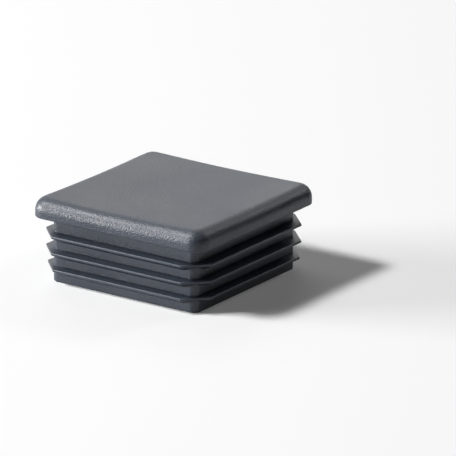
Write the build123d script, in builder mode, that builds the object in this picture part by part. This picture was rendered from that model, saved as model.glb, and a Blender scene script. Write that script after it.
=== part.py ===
"""Ribbed end cap for a 50 x 50 mm square tube, moulded in one piece.

All sizes are in millimetres.  The cap stands on the rim of its open end:
Z = 0 is the rim, +Z runs up the shank to the soft-edged head, and the
axis of the cap is the Z axis.
"""
import os

from build123d import *

# --- head: the square flange that covers the cut end of the tube -----------
HEAD_SIDE = 50.0              # same as the outside of the tube
HEAD_THICKNESS = 5.0
HEAD_CORNER_RADIUS = 3.8      # upright corners
HEAD_TOP_RADIUS = 3.4         # soft edge all round the top
HEAD_UNDER_RADIUS = 0.3       # broken lower edge, flush with the tube

# --- shank: the plain square body that enters the tube ---------------------
SHOULDER_WIDTH = 3.7          # ledge under the head that sits on the tube's end
SHANK_LENGTH = 16.5           # rim to the underside of the head
SHANK_CORNER_RADIUS = 2.0
RIM_EDGE_RADIUS = 0.3
NECK_RADIUS = 0.4             # inside corner between shank and head

# --- ribs: barbed fins, flat above and sloping back below ------------------
RIB_COUNT = 3
RIB_PITCH = 4.2
LEAD_RIB_TOP = 4.25           # flat face of the rib nearest the rim
LEAD_RIB_DEPTH = 2.75         # it is a little smaller, to start the cap
RIB_DEPTH = 3.05              # how far the others stand off the shank
RIB_TIP_THICKNESS = 0.7
RIB_ROOT_THICKNESS = 2.2
RIB_CORNER_CUT = 5.5          # legs of the clipped corners
RIB_TIP_RADIUS = 0.2

# --- hollow: cored out from the rim up into the head -----------------------
RIM_WALL = 2.8
TOP_SKIN = 2.2                # left between the hollow and the top face
HOLLOW_DRAFT = 1.75           # degrees, narrowing towards the floor
HOLLOW_CORNER_RADIUS = 1.6
FLOOR_FILLET = 0.8
RING_RADIUS = 11.5            # witness line of the round core pin
RING_WIDTH = 0.3
RING_DEPTH = 0.15

# sizes and places that follow from those above
SHANK_SIDE = HEAD_SIDE - 2 * SHOULDER_WIDTH
HEAD_TOP = SHANK_LENGTH + HEAD_THICKNESS
HOLLOW_FLOOR = HEAD_TOP - TOP_SKIN
HOLLOW_SIDE = SHANK_SIDE - 2 * RIM_WALL


def head():
    """Square flange with round corners and a soft top edge."""
    with BuildPart() as flange:
        with BuildSketch(Plane.XY.offset(SHANK_LENGTH)):
            RectangleRounded(HEAD_SIDE, HEAD_SIDE, HEAD_CORNER_RADIUS)
        extrude(amount=HEAD_THICKNESS)
        fillet(flange.faces().sort_by(Axis.Z)[-1].edges(), HEAD_TOP_RADIUS)
        fillet(flange.faces().sort_by(Axis.Z)[0].edges(), HEAD_UNDER_RADIUS)
    return flange.part


def shank():
    """Solid square post with rounded corners, from the rim to the head."""
    with BuildPart() as post:
        with BuildSketch():
            RectangleRounded(SHANK_SIDE, SHANK_SIDE, SHANK_CORNER_RADIUS)
        extrude(amount=SHANK_LENGTH)
        fillet(post.faces().sort_by(Axis.Z)[0].edges(), RIM_EDGE_RADIUS)
    return post.part


def clipped_square(side, cut):
    """Square outline with its four corners clipped at 45 degrees."""
    with BuildSketch() as outline:
        Rectangle(side, side)
        chamfer(outline.vertices(), cut)
    return outline.sketch


def rib(top, depth):
    """One fin: flat top, thin tip, underside sloping back to the shank."""
    tip = clipped_square(SHANK_SIDE + 2 * depth, RIB_CORNER_CUT)
    root = clipped_square(SHANK_SIDE, RIB_CORNER_CUT - depth * (2 - 2**0.5))
    tip_foot = Plane.XY.offset(top - RIB_TIP_THICKNESS)
    root_foot = Plane.XY.offset(top - RIB_ROOT_THICKNESS)
    with BuildPart() as fin:
        with BuildSketch(tip_foot):
            add(tip)
        extrude(amount=RIB_TIP_THICKNESS)
        fillet(fin.edges().group_by(Axis.Z)[-1], RIB_TIP_RADIUS)
        with BuildSketch(tip_foot):
            add(tip)
        with BuildSketch(root_foot):
            add(root)
        loft(ruled=True)
    return fin.part


def hollow():
    """Drafted square core with a filleted end."""
    with BuildPart() as core:
        with BuildSketch():
            RectangleRounded(HOLLOW_SIDE, HOLLOW_SIDE, HOLLOW_CORNER_RADIUS)
        extrude(amount=HOLLOW_FLOOR, taper=HOLLOW_DRAFT)
        fillet(core.faces().sort_by(Axis.Z)[-1].edges(), FLOOR_FILLET)
    return core.part


def witness_ring():
    """Shallow groove in the floor of the hollow, left by the core pin."""
    with BuildPart() as ring:
        with BuildSketch(Plane.XY.offset(HOLLOW_FLOOR)):
            Circle(RING_RADIUS + RING_WIDTH / 2)
            Circle(RING_RADIUS - RING_WIDTH / 2, mode=Mode.SUBTRACT)
        extrude(amount=RING_DEPTH)
    return ring.part


with BuildPart() as end_cap:
    # head and shank, joined by a small inside radius
    add(head())
    add(shank())
    neck = [
        edge
        for edge in end_cap.edges().filter_by_position(
            Axis.Z, SHANK_LENGTH - 0.01, SHANK_LENGTH + 0.01
        )
        if max(abs(edge.center().X), abs(edge.center().Y)) < SHANK_SIDE / 2 + 0.01
    ]
    fillet(neck, NECK_RADIUS)

    # the row of ribs, evenly spaced from the rim end
    for number in range(RIB_COUNT):
        depth = LEAD_RIB_DEPTH if number == 0 else RIB_DEPTH
        add(rib(LEAD_RIB_TOP + number * RIB_PITCH, depth))

    # core out the inside
    add(hollow(), mode=Mode.SUBTRACT)
    add(witness_ring(), mode=Mode.SUBTRACT)

end_cap.part.label = "end_cap"
os.makedirs("parts", exist_ok=True)
export_step(end_cap.part, "parts/end_cap.step")
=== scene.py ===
"""Ribbed push-in end cap for a square tube, standing on its rim on a pale floor.

The cap's sizes are written in millimetres and turned to metres as they are
used; those of the floor, the lamps and the camera are in metres.  Z = 0 is the
rim that stands on the floor, and the axis of the cap is the Z axis.
"""

import math

import bmesh
import bpy
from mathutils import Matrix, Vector


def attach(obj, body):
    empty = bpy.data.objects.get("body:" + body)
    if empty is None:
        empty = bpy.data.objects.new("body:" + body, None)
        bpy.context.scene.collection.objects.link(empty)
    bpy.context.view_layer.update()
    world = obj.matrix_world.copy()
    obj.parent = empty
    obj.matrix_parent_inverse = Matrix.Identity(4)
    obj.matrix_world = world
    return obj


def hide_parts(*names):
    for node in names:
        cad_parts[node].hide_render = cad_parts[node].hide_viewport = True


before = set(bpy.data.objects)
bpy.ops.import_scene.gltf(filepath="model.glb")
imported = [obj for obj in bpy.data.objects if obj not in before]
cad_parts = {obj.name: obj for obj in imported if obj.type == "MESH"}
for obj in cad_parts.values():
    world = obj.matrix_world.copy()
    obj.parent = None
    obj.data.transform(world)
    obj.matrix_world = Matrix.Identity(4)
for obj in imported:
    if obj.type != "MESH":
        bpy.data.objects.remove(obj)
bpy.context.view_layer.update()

# ---------------------------------------------------------------- end cap
# One hollow injection moulding of dark grey polyethylene: a soft-edged square
# head, and under it a shank with three barbed fins that spring against the
# tube.  It is modelled as the mould is cut: head, shank, fins, then the core.
MM = 0.001
TOUCH = 0.001                 # mm: places closer than this are the same place

# head: as wide as the tube outside, edges soft on top and crisp below
HEAD_SIDE = 50.0
HEAD_UNDER = 16.5             # heights are above the rim
HEAD_TOP = 21.5
HEAD_CORNER_RADIUS = 3.8
HEAD_TOP_RADIUS = 3.4
HEAD_LIP_RADIUS = 0.3
SINK_DEPTH = 0.65             # the thick middle shrinks most as it cools
SINK_REACH = 30.2             # nearly out to the corners of the flat
# the top is cut along these lines both ways, so that it can bend
SINK_CUTS = (-20.5, -17.0, -12.0, -6.0, 0.0, 6.0, 12.0, 17.0, 20.5)


def add_block(side, low, high):
    """Adds a square block on the cap's axis, from low to high, and opens its mesh."""
    bpy.ops.object.select_all(action="DESELECT")
    bpy.ops.mesh.primitive_cube_add(
        size=1, location=(0, 0, (low + high) / 2 * MM),
        scale=(side * MM, side * MM, (high - low) * MM))
    bpy.ops.object.transform_apply(location=True, rotation=True, scale=True)
    bpy.ops.object.mode_set(mode="EDIT")
    return bpy.context.object


def pick(kind, wanted):
    """Selects the vertices, edges or faces of the open mesh that are wanted.

    The test is given the middle of each, in mm, and the part itself.
    """
    bpy.ops.mesh.select_mode(type=kind)
    bpy.ops.mesh.select_all(action="DESELECT")
    mesh = bmesh.from_edit_mesh(bpy.context.object.data)
    mesh.normal_update()
    parts = {"VERT": mesh.verts, "EDGE": mesh.edges, "FACE": mesh.faces}[kind]
    for part in parts:
        points = [part.co] if kind == "VERT" else [v.co for v in part.verts]
        middle = sum(points, Vector()) / len(points) / MM
        if not part.hide:
            part.select_set(bool(wanted(middle, part)))
    mesh.select_flush_mode()
    bmesh.update_edit_mesh(bpy.context.object.data)


def upright(middle, edge):
    """True for an edge that runs up, or leans by no more than a draft."""
    along = edge.verts[1].co - edge.verts[0].co
    return abs(along.z) > 0.99 * along.length


def level_at(height):
    """A test for edges that lie level at one height."""
    def level(middle, edge):
        return all(abs(v.co.z / MM - height) < TOUCH for v in edge.verts)
    return level


def facing(side):
    """A test for faces that point up, 1, or down, -1."""
    return lambda middle, face: face.normal.z * side > 0.9


def round_over(radius, steps):
    """Rounds the selected edges to a radius in mm."""
    bpy.ops.mesh.bevel(offset=radius * MM, offset_type="OFFSET", segments=steps,
                       profile=0.5, affect="EDGES")


head = add_block(HEAD_SIDE, HEAD_UNDER, HEAD_TOP)
pick("EDGE", upright)
round_over(HEAD_CORNER_RADIUS, steps=12)
pick("EDGE", level_at(HEAD_TOP))
round_over(HEAD_TOP_RADIUS, steps=14)
pick("EDGE", level_at(HEAD_UNDER))
round_over(HEAD_LIP_RADIUS, steps=3)
for cut in SINK_CUTS:
    for plane_no in ((1, 0, 0), (0, 1, 0)):
        bpy.ops.mesh.select_all(action="SELECT")
        plane_co = [n * cut * MM for n in plane_no]
        bpy.ops.mesh.bisect(plane_co=plane_co, plane_no=plane_no)
pick("VERT", lambda middle, vert: middle.z < HEAD_TOP - HEAD_TOP_RADIUS + TOUCH)
bpy.ops.mesh.hide()
pick("VERT", lambda middle, vert: middle.xy.length < TOUCH
     and middle.z > HEAD_TOP - TOUCH)
bpy.ops.transform.translate(
    value=(0, 0, -SINK_DEPTH * MM), use_proportional_edit=True,
    proportional_edit_falloff="INVERSE_SQUARE", proportional_size=SINK_REACH * MM)
bpy.ops.mesh.reveal(select=False)
bpy.ops.object.mode_set(mode="OBJECT")

# shank: the square body that enters the tube, run up into the head
SHANK_SIDE = 42.6
SHANK_CORNER_RADIUS = 2.0
RIM_EDGE_RADIUS = 0.3
SHANK_BURIED = 1.4            # how far its block runs up into the head

shank = add_block(SHANK_SIDE, 0, HEAD_UNDER + SHANK_BURIED)
pick("EDGE", upright)
round_over(SHANK_CORNER_RADIUS, steps=9)
pick("EDGE", level_at(0))
round_over(RIM_EDGE_RADIUS, steps=3)
bpy.ops.object.mode_set(mode="OBJECT")

# fins: a thin tip with clipped corners, and an underside that slopes back to
# the shank so that the cap goes in easily and holds.  The two lower ones are
# copies, and the lowest, the lead fin, is a little smaller to find its way in.
FIN_TIP_TOPS = (4.1, 8.3, 12.5)
FIN_DEPTH = 3.05
LEAD_FIN_DEPTH = 2.75
FIN_TIP_THICKNESS = 0.6
FIN_TOP_RISE = 0.15           # the top climbs this much from tip to shank
FIN_UNDER_FALL = 1.6          # and the underside falls this much
FIN_CORNER_CUT = 5.5
FIN_TIP_RADIUS = 0.2          # of its upper edge; the lower has half of it
FIN_BURIED = 0.6              # how far its block runs into the shank

fin_side = SHANK_SIDE + 2 * FIN_DEPTH
fin_top = FIN_TIP_TOPS[-1]
fin = add_block(fin_side, fin_top - FIN_TIP_THICKNESS, fin_top)
pick("EDGE", upright)
bpy.ops.mesh.bevel(offset=FIN_CORNER_CUT * MM, segments=1, affect="EDGES")
for side, change in ((1, FIN_TOP_RISE), (-1, -FIN_UNDER_FALL)):
    pick("FACE", facing(side))
    bpy.ops.mesh.inset(thickness=(FIN_DEPTH + FIN_BURIED) * MM, depth=0)
    bpy.ops.transform.translate(
        value=(0, 0, change * (FIN_DEPTH + FIN_BURIED) / FIN_DEPTH * MM))
pick("EDGE", level_at(fin_top))
round_over(FIN_TIP_RADIUS, steps=3)
pick("EDGE", level_at(fin_top - FIN_TIP_THICKNESS))
round_over(FIN_TIP_RADIUS / 2, steps=2)
bpy.ops.object.mode_set(mode="OBJECT")


def take(piece):
    """Selects one object alone and makes it the one that is worked on."""
    bpy.ops.object.select_all(action="DESELECT")
    piece.select_set(True)
    bpy.context.view_layer.objects.active = piece


fins = [fin]
for top in FIN_TIP_TOPS[:-1]:
    take(fin)
    bpy.ops.object.duplicate(linked=False)
    lower_fin = bpy.context.object
    bpy.ops.object.mode_set(mode="EDIT")
    bpy.ops.mesh.select_all(action="SELECT")
    bpy.ops.transform.translate(value=(0, 0, (top - fin_top) * MM))
    if top == FIN_TIP_TOPS[0]:
        shrink = (SHANK_SIDE + 2 * LEAD_FIN_DEPTH) / fin_side
        bpy.ops.transform.resize(value=(shrink, shrink, 1))
    bpy.ops.object.mode_set(mode="OBJECT")
    fins.append(lower_fin)

# core: what leaves the hollow, drafted so that the cap pulls off it, with the
# line of the round core pin left on the floor of the hollow
RIM_WALL = 2.8
HOLLOW_FLOOR = 19.3
HOLLOW_DRAFT = 1.75           # degrees
HOLLOW_CORNER_RADIUS = 1.6
FLOOR_FILLET = 0.8
PIN_LINE_RADIUS = 11.5
PIN_LINE_DEPTH = 0.15
CORE_CLEARANCE = 1.0          # how far the core stands out below the rim

hollow_side = SHANK_SIDE - 2 * RIM_WALL
floor_side = hollow_side - 2 * HOLLOW_FLOOR * math.tan(math.radians(HOLLOW_DRAFT))
core = add_block(hollow_side, 0, HOLLOW_FLOOR)
pick("FACE", facing(1))
bpy.ops.transform.resize(value=(floor_side / hollow_side, floor_side / hollow_side, 1))
pick("EDGE", upright)
round_over(HOLLOW_CORNER_RADIUS, steps=8)
pick("EDGE", level_at(HOLLOW_FLOOR))
round_over(FLOOR_FILLET, steps=6)
pick("FACE", facing(-1))
bpy.ops.mesh.extrude_region_move(
    TRANSFORM_OT_translate={"value": (0, 0, -CORE_CLEARANCE * MM)})
bpy.ops.object.mode_set(mode="OBJECT")

bpy.ops.object.select_all(action="DESELECT")
bpy.ops.mesh.primitive_torus_add(
    location=(0, 0, HOLLOW_FLOOR * MM), major_radius=PIN_LINE_RADIUS * MM,
    minor_radius=PIN_LINE_DEPTH * MM, major_segments=120, minor_segments=12)
bpy.ops.object.transform_apply(location=True, rotation=True, scale=True)
pin_line = bpy.context.object


def join_or_cut(cap, tool, operation):
    """Joins a block to the cap or cuts it away, and removes the block."""
    take(cap)
    bpy.ops.object.modifier_add(type="BOOLEAN")
    step = cap.modifiers[-1]
    step.operation = operation
    step.solver = "EXACT"
    step.object = tool
    bpy.ops.object.modifier_apply(modifier=step.name)
    bpy.data.objects.remove(tool, do_unlink=True)


end_cap = head
join_or_cut(end_cap, shank, "UNION")
for fin in fins:
    join_or_cut(end_cap, fin, "UNION")
join_or_cut(end_cap, core, "DIFFERENCE")
join_or_cut(end_cap, pin_line, "DIFFERENCE")
end_cap.name = "end_cap_moulding"
end_cap.data.name = "end_cap_moulding"

# the neck under the head is filleted, and the rim of the hollow just broken
NECK_RADIUS = 0.4
HOLLOW_RIM_RADIUS = 0.25
MERGE_WITHIN = 0.002
SMOOTH_ANGLE = 38             # degrees: what turns less is shaded as one surface


def corner_at(height, side):
    """A test for edges at one height and within a square, where level meets wall."""
    level = level_at(height)

    def corner(middle, edge):
        slopes = {round(face.normal.z, 1) for face in edge.link_faces}
        within = max(abs(middle.x), abs(middle.y)) < side / 2 + TOUCH
        return level(middle, edge) and within and len(slopes) > 1
    return corner


bpy.ops.object.mode_set(mode="EDIT")
bpy.ops.mesh.select_all(action="SELECT")
bpy.ops.mesh.remove_doubles(threshold=MERGE_WITHIN * MM)
bpy.ops.mesh.normals_make_consistent(inside=False)
pick("EDGE", corner_at(HEAD_UNDER, SHANK_SIDE))
round_over(NECK_RADIUS, steps=4)
pick("EDGE", corner_at(0, hollow_side))
round_over(HOLLOW_RIM_RADIUS, steps=3)
bpy.ops.object.mode_set(mode="OBJECT")
bpy.ops.object.shade_smooth_by_angle(angle=math.radians(SMOOTH_ANGLE))
bpy.ops.object.modifier_add(type="WEIGHTED_NORMAL")
end_cap.modifiers[-1].keep_sharp = True
bpy.ops.object.modifier_apply(modifier=end_cap.modifiers[-1].name)


def linear(hex_colour):
    """An sRGB hex colour as Blender's linear red, green, blue and alpha."""
    parts = [int(hex_colour[i:i + 2], 16) / 255 for i in (1, 3, 5)]
    return [c / 12.92 if c <= 0.04045 else ((c + 0.055) / 1.055) ** 2.4
            for c in parts] + [1.0]


def add_node(tree, kind, settings=None, **inputs):
    """Adds a node with its settings, and gives each named socket a value or a link.

    A socket whose name isn't its own goes by its place, such as i0 for the first.
    """
    node = tree.nodes.new(kind)
    for name, value in (settings or {}).items():
        setattr(node, name, value)
    for name, value in inputs.items():
        socket = node.inputs[int(name[1:])] if name[0] == "i" and name[1:].isdigit() \
            else node.inputs[name.replace("_", " ")]
        if isinstance(value, bpy.types.NodeSocket):
            tree.links.new(value, socket)
        else:
            socket.default_value = value
    return node


# dark grey polyethylene, satin from a spark-eroded mould.  The eye gets a slate
# body, a broad soft sheen that breaks into fine grain along the rounded
# edges, and a faint cloudiness where the skin has cooled unevenly.
BODY_DARK = "#1b232e"
BODY_LIGHT = "#252d39"
CLOUD_SIZE = 24.0
CLOUD_SPREAD = (0.3, 0.7)     # most of the noise lies between these
GRAIN_SIZE = 0.5              # really 0.1 to 0.2 mm, drawn coarser so that it shows
GRAIN_DEPTH = 0.07
FINE_GRAIN_SIZE = 0.25
FINE_GRAIN_SHARE = 0.5        # how deep it is beside the coarser grain
SHANK_GRAIN = 0.35            # the shank's part of the mould is smoother
SHANK_GRAIN_FADE = 0.2        # mm above and below the shoulder where it changes
SATIN = (0.35, 0.45)          # roughness from the glossy to the dull clouds

plastic = bpy.data.materials.new("spark_grained_polyethylene")
plastic.use_nodes = True
tree = plastic.node_tree
tree.nodes.clear()
place = add_node(tree, "ShaderNodeTexCoord").outputs["Object"]
cloud = add_node(tree, "ShaderNodeTexNoise", Vector=place, Scale=1 / (CLOUD_SIZE * MM),
                 Detail=3.0, Roughness=0.55)
colour = add_node(tree, "ShaderNodeMix", {"data_type": "RGBA"}, i0=cloud.outputs["Fac"],
                  i6=linear(BODY_DARK), i7=linear(BODY_LIGHT))
grain = add_node(tree, "ShaderNodeTexNoise", Vector=place, Scale=1 / (GRAIN_SIZE * MM),
                 Detail=1.0, Roughness=0.5)
fine_grain = add_node(tree, "ShaderNodeTexNoise", Vector=place,
                      Scale=1 / (FINE_GRAIN_SIZE * MM), Detail=0.0)
grains = add_node(tree, "ShaderNodeMath", {"operation": "MULTIPLY_ADD"},
                  i0=fine_grain.outputs["Fac"], i1=FINE_GRAIN_SHARE,
                  i2=grain.outputs["Fac"])
height = add_node(tree, "ShaderNodeSeparateXYZ", Vector=place).outputs["Z"]
coarse_part = add_node(tree, "ShaderNodeMapRange", Value=height,
                       From_Min=(HEAD_UNDER - SHANK_GRAIN_FADE) * MM,
                       From_Max=(HEAD_UNDER + SHANK_GRAIN_FADE) * MM,
                       To_Min=SHANK_GRAIN, To_Max=1.0)
relief = add_node(tree, "ShaderNodeBump", Strength=coarse_part.outputs["Result"],
                  Distance=GRAIN_DEPTH * MM, Height=grains.outputs[0])
satin = add_node(tree, "ShaderNodeMapRange", Value=cloud.outputs["Fac"],
                 From_Min=CLOUD_SPREAD[0], From_Max=CLOUD_SPREAD[1],
                 To_Min=SATIN[0], To_Max=SATIN[1])
shader = add_node(tree, "ShaderNodeBsdfPrincipled", Base_Color=colour.outputs[2],
                  Roughness=satin.outputs["Result"], IOR=1.5, Normal=relief.outputs["Normal"])
add_node(tree, "ShaderNodeOutputMaterial", Surface=shader.outputs["BSDF"])
end_cap.data.materials.clear()
end_cap.data.materials.append(plastic)

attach(end_cap, "root")
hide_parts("end_cap")

# ------------------------------------------------------------------ floor
# A sheet of matt white paper that the cap stands on.  Seen directly or in the
# plastic it glows by a touch, which keeps it white up to the cap's shadow.
FLOOR_SIDE = 6.0
PAPER_WHITE = "#f2f2f2"
PAPER_GLOW = 0.08

bpy.ops.object.select_all(action="DESELECT")
bpy.ops.mesh.primitive_plane_add(size=FLOOR_SIDE, location=(0, 0, 0))
studio_floor = bpy.context.object
studio_floor.name = "studio_floor"


def add_seen_ray(tree):
    """A light path node, and a node that is 1 for the rays that show a thing.

    Those are the camera's own and the ones it sees in gloss or through glass.
    """
    path = add_node(tree, "ShaderNodeLightPath")
    seen = add_node(tree, "ShaderNodeMath", {"operation": "MAXIMUM"},
                    i0=path.outputs["Is Camera Ray"], i1=path.outputs["Is Glossy Ray"])
    seen = add_node(tree, "ShaderNodeMath", {"operation": "MAXIMUM"},
                    i0=seen.outputs[0], i1=path.outputs["Is Transmission Ray"])
    return path, seen


paper = bpy.data.materials.new("white_paper")
paper.use_nodes = True
tree = paper.node_tree
tree.nodes.clear()
path, seen = add_seen_ray(tree)
glow = add_node(tree, "ShaderNodeMath", {"operation": "MULTIPLY"},
                i0=seen.outputs[0], i1=PAPER_GLOW)
matt = add_node(tree, "ShaderNodeBsdfDiffuse", Color=linear(PAPER_WHITE))
lift = add_node(tree, "ShaderNodeEmission", Color=(1, 1, 1, 1), Strength=glow.outputs[0])
both = add_node(tree, "ShaderNodeAddShader", i0=matt.outputs[0], i1=lift.outputs[0])
add_node(tree, "ShaderNodeOutputMaterial", Surface=both.outputs[0])
studio_floor.data.materials.append(paper)

# ----------------------------------------------------------------- lights
# A white studio that is open to the left and above.  To the right the room
# is dark, so the gloss of the cap fades there, and the eye sees its form.
OPEN_SIDE = (-0.5, 0.0, 0.866)    # up and to the left
OPEN_FROM = 0.05                  # cosine of the angle to it where the dark ends
OPEN_TO = 0.5                     # and where the room is white
ROOM_DARK = 0.06

world = bpy.data.worlds.new("studio")
bpy.context.scene.world = world
world.use_nodes = True
tree = world.node_tree
tree.nodes.clear()
path, seen = add_seen_ray(tree)
direction = add_node(tree, "ShaderNodeTexCoord").outputs["Generated"]
across = add_node(tree, "ShaderNodeVectorMath", {"operation": "DOT_PRODUCT"},
                  i0=direction, i1=OPEN_SIDE).outputs["Value"]
room = add_node(tree, "ShaderNodeMapRange", Value=across, From_Min=OPEN_FROM,
                From_Max=OPEN_TO, To_Min=ROOM_DARK, To_Max=1.0)
level = add_node(tree, "ShaderNodeMix", {"data_type": "FLOAT"},
                 i0=path.outputs["Is Glossy Ray"], i2=seen.outputs[0],
                 i3=room.outputs["Result"])
sky = add_node(tree, "ShaderNodeBackground", Color=(1, 1, 1, 1), Strength=level.outputs[0])
add_node(tree, "ShaderNodeOutputWorld", Surface=sky.outputs[0])

LAMP_DISTANCE = 3.0


def add_softbox(name, azimuth, elevation, width, height, power):
    """Hangs a soft lamp that faces the cap, by its size in metres and power in watts.

    Azimuth and elevation are in degrees, and azimuth turns from the front to the left.
    """
    turn, rise = math.radians(azimuth), math.radians(elevation)
    towards = Vector((-math.sin(turn) * math.cos(rise),
                      -math.cos(turn) * math.cos(rise), math.sin(rise)))
    bpy.ops.object.select_all(action="DESELECT")
    bpy.ops.object.light_add(type="AREA", location=towards * LAMP_DISTANCE)
    lamp = bpy.context.object
    lamp.name = name
    lamp.rotation_euler = towards.to_track_quat("Z", "Y").to_euler()
    lamp.data.shape = "RECTANGLE"
    lamp.data.size = width
    lamp.data.size_y = height
    lamp.data.energy = power


add_softbox("low_softbox", 58, 7, 1.60, 0.72, 168)      # the upright walls
add_softbox("key_softbox", 50, 46, 0.72, 0.36, 82)      # the shine along the head's edge
add_softbox("back_softbox", 140, 34, 1.50, 0.90, 7.6)   # the head's flat top
add_softbox("top_softbox", 115, 54, 1.20, 1.20, 4.4)    # the same, from higher up
add_softbox("rim_softbox", 203, 32, 0.48, 0.48, 7.2)    # the head's far edge

# ----------------------------------------------------------------- camera
# A long lens stands to the front right, a little above the cap, so that two
# walls with their fins and the whole flat top are seen almost without taper.
CAMERA_PLACE = (0.73845, -1.05768, 0.43546)
CAMERA_TURN = (71.8192, -0.4040, 34.4771)    # degrees about X, Y and Z
CAMERA_LENS = 444.7                          # mm
NEAREST_SEEN = 0.05

bpy.ops.object.select_all(action="DESELECT")
bpy.ops.object.camera_add(location=CAMERA_PLACE,
                          rotation=[math.radians(angle) for angle in CAMERA_TURN])
camera = bpy.context.object
camera.name = "camera"
camera.data.lens = CAMERA_LENS
camera.data.clip_start = NEAREST_SEEN
bpy.context.scene.camera = camera
bpy.context.scene.view_settings.view_transform = "Standard"
